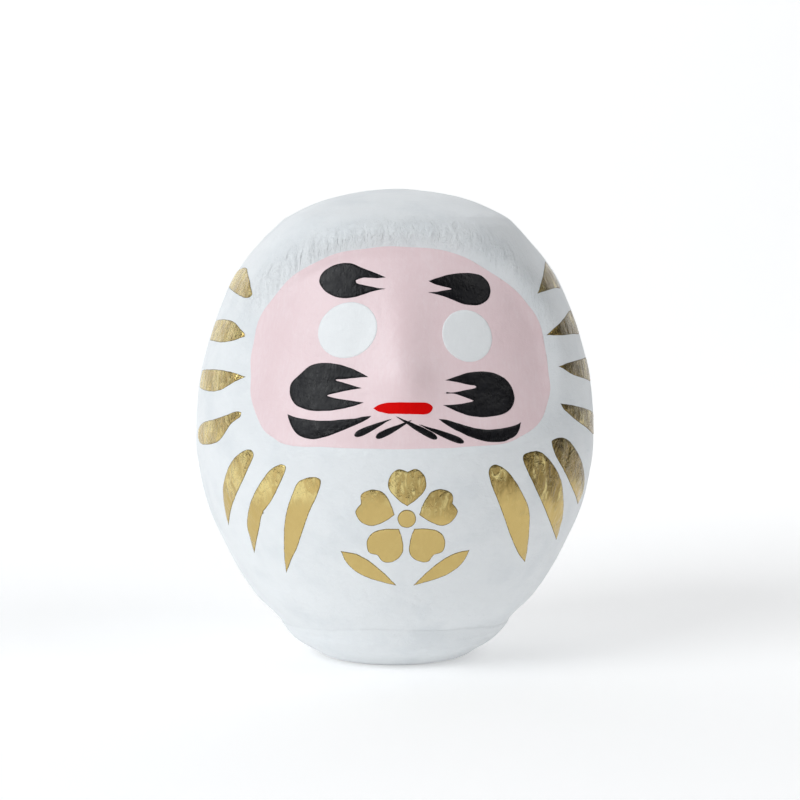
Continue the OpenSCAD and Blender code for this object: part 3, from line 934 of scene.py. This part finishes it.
class Mark(Enum):
    """Outlines of the painted and leafed marks: arcs in hundredths of the half sizes, each up to the next."""

    FACE_PAINT = (
        ((-20, -100), (-74, -99), (-87, -92), (-95, -79), (-101, -52), (-101, -30), (-100, -7), (-94, 28),
         (-82, 55), (-66, 77), (-46, 92), (-26, 98), (-4, 100), (18, 98), (36, 92), (54, 77), (75, 55),
         (90, 28), (96, -7), (98, -30), (98, -52), (91, -78), (76, -92), (62, -98), (30, -100)),
    )
    BROW_LEFT = (
        ((98, -46), (54, -64), (10, -92), (-38, -100), (-74, -75), (-96, -33), (-100, 4), (-89, 46),
         (-65, 79), (-34, 98), (-3, 98), (32, 71), (67, 46)),
        ((100, 19), (71, 14), (36, 17), (12, 4), (10, -6), (16, -17), (49, -31), (76, -42)),
    )
    BROW_RIGHT = (
        ((-98, 53), (-67, 73), (-34, 91), (4, 100), (41, 98), (72, 82), (93, 41), (100, -8), (94, -58),
         (74, -89), (44, -100), (8, -89), (-29, -59), (-62, -35)),
        ((-100, -16), (-72, -12), (-48, -5), (-30, 1), (-28, 7), (-58, 22), (-81, 36)),
    )
    WHISKER_LEFT = (
        ((100, 46), (65, 75), (24, 96), (-12, 100), (-43, 90), (-69, 56), (-94, 14), (-100, -22), (-94, -59),
         (-77, -86), (-43, -100), (-6, -98), (31, -89), (65, -74)),
        ((87, -60), (53, -53), (24, -47), (-1, -38), (-2, -32), (24, -21), (53, -10)),
        ((83, -1), (61, 9), (35, 21), (19, 28), (20, 33), (42, 35), (72, 42)),
    )
    WHISKER_RIGHT = (
        ((-93, 66), (-64, 81), (-31, 96), (-2, 100), (35, 95), (68, 71), (88, 39), (99, -6), (99, -38),
         (88, -70), (64, -92), (19, -100), (-23, -94), (-64, -70)),
        ((-100, -41), (-76, -41), (-43, -37), (-20, -30), (-19, -24), (-43, -9), (-68, 6)),
        ((-97, 10), (-68, 13), (-43, 20), (-12, 28), (-11, 38), (-35, 46), (-64, 58)),
    )
    MOUSTACHE_LEFT = (
        ((-100, 91), (-81, 71), (-42, 53), (-4, 53), (34, 67), (62, 77), (80, 91)),
        ((100, 100), (90, 71), (62, 24), (27, -28), (-8, -74), (-35, -98), (-56, -95), (-77, -63), (-90, -5),
         (-97, 53)),
    )
    MOUSTACHE_RIGHT = (
        ((-100, 100), (-76, 87), (-44, 50), (-10, 17), (23, 3), (56, 9), (85, 25)),
        ((100, 45), (96, -4), (88, -51), (69, -84), (48, -100), (15, -91), (-19, -57), (-52, -4), (-82, 54)),
    )
    MOUTH = (
        ((-100, -5), (-77, 62), (-44, 95), (7, 100), (58, 92), (85, 77), (100, 17), (95, -52), (78, -94),
         (41, -90), (-10, -82), (-50, -79), (-81, -52)),
    )
    STROKE = (
        ((0, 0), (25, 40), (60, 88), (88, 95), (100, 40), (100, -40), (88, -95), (60, -88), (25, -40)),
    )
    SIDE_MARK_LEFT_1 = (
        ((-100, 57), (-80, 86), (-15, 93), (23, 62), (67, 5), (97, -55), (100, -80), (77, -100), (28, -86),
         (-48, -52)),
        ((-100, -24), (-104, 15)),
    )
    SIDE_MARK_LEFT_2 = (
        ((-100, 88), (-14, 98), (47, 85), (90, 27), (100, -3), (96, -27), (64, -75), (9, -100), (-50, -95)),
        ((-100, -88), (-104, 0)),
    )
    SIDE_MARK_LEFT_3 = (
        ((-100, 70), (-43, 88), (28, 100), (70, 95)),
        ((100, 77), (74, 7), (38, -67), (-13, -98), (-70, -95)),
        ((-100, -84), (-104, -8)),
    )
    SIDE_MARK_LEFT_4 = (
        ((100, 97), (86, 100), (54, 74), (4, 43), (-53, 14), (-89, -19), (-100, -62), (-77, -99), (-23, -93),
         (21, -70), (45, -35), (73, 33), (98, 74)),
    )
    BELLY_MARK_LEFT_1 = (
        ((-100, -100), (-93, -62), (-85, -31), (-72, 0), (-41, 35), (-2, 67), (40, 90), (74, 100), (93, 98),
         (100, 88), (85, 67), (41, 24), (-15, -23), (-53, -57)),
    )
    BELLY_MARK_LEFT_2 = (
        ((-100, -100), (-93, -65), (-90, -40), (-73, -11), (-45, 22), (-9, 52), (40, 86), (77, 100),
         (93, 100), (100, 94), (81, 69), (36, 27), (-9, -3), (-40, -40)),
    )
    BELLY_MARK_LEFT_3 = (
        ((-100, -100), (-89, -66), (-74, -33), (-57, 2), (-35, 36), (-5, 68), (18, 89), (51, 98), (81, 100),
         (100, 95), (95, 80), (73, 56), (49, 35), (16, 0), (-20, -36), (-59, -66)),
    )
    SIDE_MARK_RIGHT_1 = (
        ((-100, -100), (-62, -38), (14, 43), (64, 83)),
        ((100, 100), (106, 17)),
        ((100, -66), (39, -74), (-51, -94)),
    )
    SIDE_MARK_RIGHT_2 = (
        ((-100, -66), (-71, -20), (35, 75)),
        ((100, 100), (105, 2)),
        ((100, -97), (70, -100), (-55, -94)),
    )
    SIDE_MARK_RIGHT_3 = (
        ((-100, 79), (-60, 92), (53, 98)),
        ((100, 92), (105, -4)),
        ((100, -100), (52, -89), (-55, -10)),
    )
    SIDE_MARK_RIGHT_4 = (
        ((-100, 100), (-49, 75), (86, 8)),
        ((100, -6), (105, -53)),
        ((100, -100), (49, -84), (-35, -12), (-87, 59)),
    )
    BELLY_MARK_RIGHT_1 = (
        ((75, -100), (14, -49), (-36, -2), (-82, 47), (-100, 85), (-97, 96), (-75, 100), (-42, 94), (-5, 67),
         (42, 23), (84, -24), (100, -68)),
    )
    BELLY_MARK_RIGHT_2 = (
        ((100, -100), (37, -57), (-25, -1), (-78, 54), (-100, 82), (-98, 95), (-71, 100), (-42, 96), (-5, 74),
         (36, 41), (62, 5), (83, -37)),
    )
    BELLY_MARK_RIGHT_3 = (
        ((100, -100), (53, -74), (-1, -29), (-59, 32), (-92, 70), (-100, 90), (-84, 100), (-52, 93),
         (-15, 72), (23, 43), (56, 9), (77, -41)),
    )
    PETAL = (
        ((0, -100), (55, -60), (98, -5), (92, 55), (50, 95)),
        ((0, 82), (-50, 95), (-92, 55), (-98, -5), (-55, -60)),
    )
    SPRIG = (
        ((-100, 40), (-55, 88), (-5, 80), (50, 32)),
        ((100, -30), (45, -70), (-10, -88), (-60, -55)),
    )

    def sized(self, width: float, height: float) -> list[Point]:
        """The closed outline at a width and a height, without its first point again at the end."""
        points: list[Point] = []
        for arc, following in zip(self.value, (*self.value[1:], self.value[0])):
            points += curve([*arc, following[0]], ARC_STEPS)[:-1]
        return [(x * width / 200, y * height / 200) for x, y in points]


def oval(width: float, height: float, steps: int = 48) -> list[Point]:
    """A round outline."""
    turns = [2 * math.pi * i / steps for i in range(steps)]
    return [(width / 2 * math.cos(a), height / 2 * math.sin(a)) for a in turns]


@dataclass
class Painter:
    """Paints the sunken face: the pink coat, then the marks on it."""

    form: BodyForm
    press: FilmPress
    finishes: Finishes
    stroke: float = 1.6
    COAT = Stuff(0.1, 0.5, 0.8, 0.35, 6)
    MARK = Stuff(0.1, 0.15, 0.6, 0.07, 1.6)
    BLACK = {
        "brow_left": (-34, 65.6, 15.7, 8.3), "brow_right": (36, 56.6, 15.4, 7.7),
        "whisker_left": (-50, -40.5, 18.6, 11.3), "whisker_right": (48, -48.2, 17.8, 10.7),
        "moustache_left": (-50, -80, 19.7, 5.9), "moustache_right": (48.5, -83.6, 20.5, 6.0),
    }
    EYES = {"eye_left": (-37.6, 16.3, 14.6, 12.5, 35), "eye_right": (40.6, 10.2, 13.0, 11.6, -45)}
    STROKES = {
        "stroke_left": ((-9.8, -69.8), (-33.6, -87.2)), "stroke_right": ((7.2, -75.6), (36.7, -94.7)),
        "crossed_left": ((3.1, -71.2), (-19.8, -88.8)), "crossed_right": ((-7.6, -67.4), (19, -89.9)),
    }
    MOUTH = (-2.7, -60, 14.0, 3.0)

    def film(self, node: str, slot: str, x: float, z: float, shape: list[Point]) -> Film:
        """A mark on the face, at hundredths of the face's half width and half height."""
        place = (x / 100 * self.form.face_width / 2, STAND_OFF, self.form.face_z(z))
        return Film(node, shape, place, FACING_FRONT, slot, self.MARK, x + z, above=self.COAT.thickness)

    def dash(self, tip: Point, end: Point) -> list[Point]:
        """A short stroke from a fine tip to a blunt end, both in hundredths of the face."""
        half_w, half_h = self.form.face_width / 2, self.form.face_height / 2
        start = Vector((tip[0] / 100 * half_w, tip[1] / 100 * half_h))
        along = Vector((end[0] / 100 * half_w, end[1] / 100 * half_h)) - start
        across = Vector((-along.y, along.x)).normalized() * self.stroke / 2
        return [tuple(start + along * x + across * y) for x, y in Mark.STROKE.sized(2, 2)]

    def build(self) -> None:
        """Makes the coat and every mark."""
        form, press, finishes = self.form, self.press.press, self.finishes
        whole = Mark.FACE_PAINT.sized(form.face_width, form.face_height)
        place = (0, STAND_OFF, form.face_mid)
        press(Film("face_paint", whole, place, FACING_FRONT, "pink_paint", self.COAT, 1.0), finishes.pink)
        for node, (x, z, width, height, turn) in self.EYES.items():
            press(self.film(node, "white_paint", x, z, spun(oval(width, height), turn)), finishes.eye)
        for node, (x, z, width, height) in self.BLACK.items():
            shape = Mark[node.upper()].sized(width, height)
            press(self.film(node, "black_paint", x, z, shape), finishes.black)
        for node in ("stroke_left", "stroke_right"):
            press(self.film(node, "black_paint", 0, 0, self.dash(*self.STROKES[node])), finishes.black)
        self.cross()
        x, z, width, height = self.MOUTH
        press(self.film("mouth", "red_paint", x, z, Mark.MOUTH.sized(width, height)), finishes.red)

    def cross(self) -> None:
        """The middle pair of strokes, which cross and are one piece."""
        pieces = []
        for name in ("crossed_left", "crossed_right"):
            film = self.film("crossed_strokes", "black_paint", 0, 0, self.dash(*self.STROKES[name]))
            piece = self.press.press(film, self.finishes.black)
            piece.name = name
            pieces.append(piece)
        active(pieces[0])
        pieces[1].select_set(True)
        bpy.ops.object.join()
        pieces[0].name = "crossed_strokes_film"


@dataclass(frozen=True)
class Lie:
    """How a gold mark lies on the body: its turn and lean, its height on the face's scale, and its size."""

    turn: float
    lean: float
    share: float
    width: float
    height: float


@dataclass
class Gilder:
    """Lays the gold leaf: the marks on the sides and the belly, and the flower."""

    form: BodyForm
    press: FilmPress
    gold: Material
    petal: Point = (9.0, 9.2)
    centre: float = 4.4
    sprig: Point = (16.0, 4.8)
    sprig_inset: float = 6.0
    sprig_turn: float = -27.0
    gap: float = 0.9
    flower_share: float = 30.0
    stand_off: float = 20.0
    LEAF = Stuff(0.1, 0.3, 0.7, 0.1, 1.2)
    LIES = {
        "side_mark_left_1": Lie(-70.9, 30, 61.3, 24, 8.4),
        "side_mark_left_2": Lie(-68.7, 18, 10.3, 23.4, 5.9),
        "side_mark_left_3": Lie(-67.2, 9.5, -41, 26.3, 5.7),
        "side_mark_left_4": Lie(-65.8, 2.5, -89.5, 25.6, 9.7),
        "belly_mark_left_1": Lie(-54.6, -10, -151, 16.9, 20.9),
        "belly_mark_left_2": Lie(-43.8, -14, -171.5, 17.2, 24.8),
        "belly_mark_left_3": Lie(-32.2, -17, -185.5, 14.8, 26.7),
        "side_mark_right_1": Lie(60.3, 31, 66.7, 19.5, 9.4),
        "side_mark_right_2": Lie(64, 19, 18.7, 23.5, 6.5),
        "side_mark_right_3": Lie(67.6, 11, -33, 26.8, 6.3),
        "side_mark_right_4": Lie(67.2, 3.5, -83, 29, 10.2),
        "belly_mark_right_1": Lie(57.9, -7.5, -136.5, 22.6, 18.6),
        "belly_mark_right_2": Lie(45.9, -12, -160.5, 21.2, 25),
        "belly_mark_right_3": Lie(32.7, -15.5, -175.5, 17.6, 27.2),
    }

    def lay(self, node: str, shape: list[Point], place: Triple, facing: Triple, seed: float) -> None:
        """Lays one piece of leaf, from its clean outline."""
        self.press.press(Film(node, shape, place, facing, "gold_leaf", self.LEAF, seed), self.gold)

    def mark(self, node: str, lie: Lie) -> None:
        """Lays one side or belly mark."""
        z = self.form.face_z(lie.share)
        turn, lean = math.radians(lie.turn), math.radians(lie.lean)
        out = Vector((math.sin(turn) * math.cos(lean), -math.cos(turn) * math.cos(lean), math.sin(lean)))
        radius = self.form.radius_at(z)
        foot = Vector((radius * math.sin(turn), -radius * math.cos(turn), z))
        shape = Mark[node.upper()].sized(lie.width, lie.height)
        facing = (math.pi / 2 - lean, 0, turn)
        self.lay(node, shape, tuple(foot + self.stand_off * out), facing, lie.turn)

    def flower(self) -> dict[str, list[Point]]:
        """The outlines of the flower's pieces, about its middle."""
        reach = self.centre / 2 + self.gap + self.petal[1]
        pieces = {"flower_centre": oval(self.centre, self.centre, 32)}
        petal = moved(Mark.PETAL.sized(*self.petal), 0, reach - self.petal[1] / 2)
        for i in range(1, 6):
            pieces[f"petal_{i}"] = spun(petal, 72 * i)
        aside, down = self.sprig_inset - self.sprig[0] / 2, -reach - self.gap - self.sprig[1] / 2
        leaf = spun(moved(Mark.SPRIG.sized(*self.sprig), aside, down), self.sprig_turn)
        return pieces | {"leaf_left": leaf, "leaf_right": mirrored(leaf)}

    def build(self) -> None:
        """Lays every piece of leaf."""
        for node, lie in self.LIES.items():
            self.mark(node, lie)
        place = (0, STAND_OFF, self.form.level(self.flower_share))
        for node, shape in self.flower().items():
            self.lay(node, shape, place, FACING_FRONT, len(node))


# ---- the studio ----


@dataclass
class Studio:
    """The pale floor, the lights and the camera."""

    target: Vector = field(default_factory=lambda: Vector((0, 0, 0.058)))
    distance: float = 0.6
    azimuth: float = -3.3
    elevation: float = 5.5
    lens: float = 104.7
    shift: Point = (0.00625, 0.038)
    floor_colour: Triple = (0.9, 0.9, 0.9)
    # Painted shade: the floor's darker colour in front of the doll and to its right.
    floor_painted_shade: Triple = (0.55, 0.55, 0.55)
    floor_size: float = 5.0
    floor_back: float = 1.0
    floor_bend: float = 0.4
    back_height: float = 1.6
    # Painted light: the floor glows though it is no lamp.
    floor_glow: float = 0.38
    room_colour: Triple = (0.93, 0.96, 1.0)
    room_light: float = 0.21
    # Where the floor's painted shade grows in front of the doll and to its right, and where its painted glow
    # grows behind it.
    PAINTED_SHADE_AHEAD = (0.16, 0.7)
    PAINTED_SHADE_ASIDE = (0.25, 0.9)
    GLOW_BEHIND = (0.05, 0.4)
    LIGHTS = (
        ("key", (-0.9, -0.7, 0.68), 0.8, 9.4, (0.95, 0.98, 1.0)),
        ("top", (-0.1, 0.0, 1.3), 1.2, 2.9, (1.0, 1.0, 1.0)),
        ("fill", (0.9, -0.5, 0.85), 0.7, 3.0, (1.0, 0.99, 0.98)),
    )

    def sweep(self) -> None:
        """The floor, which curves up into a backdrop behind the doll."""
        middle = (0, self.floor_back - self.floor_size / 2, 0)
        bpy.ops.mesh.primitive_plane_add(size=self.floor_size, location=middle)
        floor = added("studio_sweep")
        corners = floor.data.vertices
        in_edit_mode(floor, lambda: bpy.ops.mesh.select_all(action="DESELECT"))
        for edge in floor.data.edges:
            edge.select = all(corners[i].co.y > 0 for i in edge.vertices)
        bpy.ops.object.mode_set(mode="EDIT")
        bpy.ops.mesh.select_mode(type="EDGE")
        bpy.ops.mesh.extrude_region_move(TRANSFORM_OT_translate={"value": (0, 0, self.back_height)})
        bpy.ops.object.mode_set(mode="OBJECT")
        bevel = add_modifier(floor, "BEVEL", width=self.floor_bend, segments=16, limit_method="ANGLE")
        bevel.angle_limit = math.radians(40)
        apply_all(floor)
        smooth_by_angle(floor, 60)
        floor.data.materials.append(self.paper())

    def paper(self) -> Material:
        """The floor's material: a painted glow, strongest behind the doll, and painted shade that makes it
        darker and dimmer in front and to the right.
        """
        b = Bench("studio_paper")
        x, y, _ = b.axes()
        # Painted shade in front of the doll and to its right, and painted glow elsewhere, strongest behind
        # it.
        ahead = (y * -1.0).between(*self.PAINTED_SHADE_AHEAD)
        aside = (x - y * 0.3).between(*self.PAINTED_SHADE_ASIDE)
        floor_shade_share = 1 - (1 - ahead) * (1 - aside)
        far = (1 - floor_shade_share) * (0.65 + 0.35 * y.between(*self.GLOW_BEHIND))
        b.set(Base_Color=b.blend(floor_shade_share, self.floor_colour, self.floor_painted_shade), Roughness=0.9)
        glow = b.blend(far, (0.0, 0.0, 0.0), (1.0, 1.0, 1.0))
        b.set(Emission_Color=glow, Emission_Strength=self.floor_glow)
        return b.material

    def aimed(self, data: bpy.types.Camera | bpy.types.Light, place: Vector) -> Object:
        """A camera or a light at a place, aimed at the doll."""
        obj = bpy.data.objects.new(data.name, data)
        bpy.context.scene.collection.objects.link(obj)
        obj.location = place
        obj.rotation_euler = (self.target - place).to_track_quat("-Z", "Y").to_euler()
        return obj

    def light(self, name: str, place: Triple, size: float, watts: float, colour: Triple) -> None:
        """A soft square light."""
        data = bpy.data.lights.new(name, "AREA")
        data.size, data.energy, data.color = size, watts, colour
        self.aimed(data, Vector(place))

    def camera(self) -> None:
        """The camera, level with the doll's belly and a little above it."""
        az, el = math.radians(self.azimuth), math.radians(self.elevation)
        back = Vector((math.sin(az) * math.cos(el), -math.cos(az) * math.cos(el), math.sin(el)))
        data = bpy.data.cameras.new("camera")
        data.lens, data.sensor_width = self.lens, 36
        data.shift_x, data.shift_y = self.shift
        bpy.context.scene.camera = self.aimed(data, self.target + back * self.distance)

    def room(self) -> None:
        """The dim light from all round."""
        world = bpy.data.worlds.new("room")
        bpy.context.scene.world = world
        world.use_nodes = True
        background = world.node_tree.nodes["Background"]
        background.inputs["Color"].default_value = (*self.room_colour, 1)
        background.inputs["Strength"].default_value = self.room_light

    def build(self) -> None:
        """Sets up the studio."""
        self.camera()
        self.sweep()
        for light in self.LIGHTS:
            self.light(*light)
        self.room()
        bpy.context.scene.view_settings.view_transform = "Standard"


def main() -> None:
    """Builds the doll around its frame."""
    logging.basicConfig(level=logging.INFO, format="%(message)s")
    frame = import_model()
    Studio().build()
    form = BodyForm()
    finishes = Finishes()
    skin = PaperBody(form).build(finishes)
    WeightedBase(form).build(finishes, frame["nodes"])
    press = FilmPress(skin)
    Painter(form, press, finishes).build()
    Gilder(form, press, finishes.gold).build()
    bpy.data.objects.remove(skin)


if __name__ == "__main__":
    main()
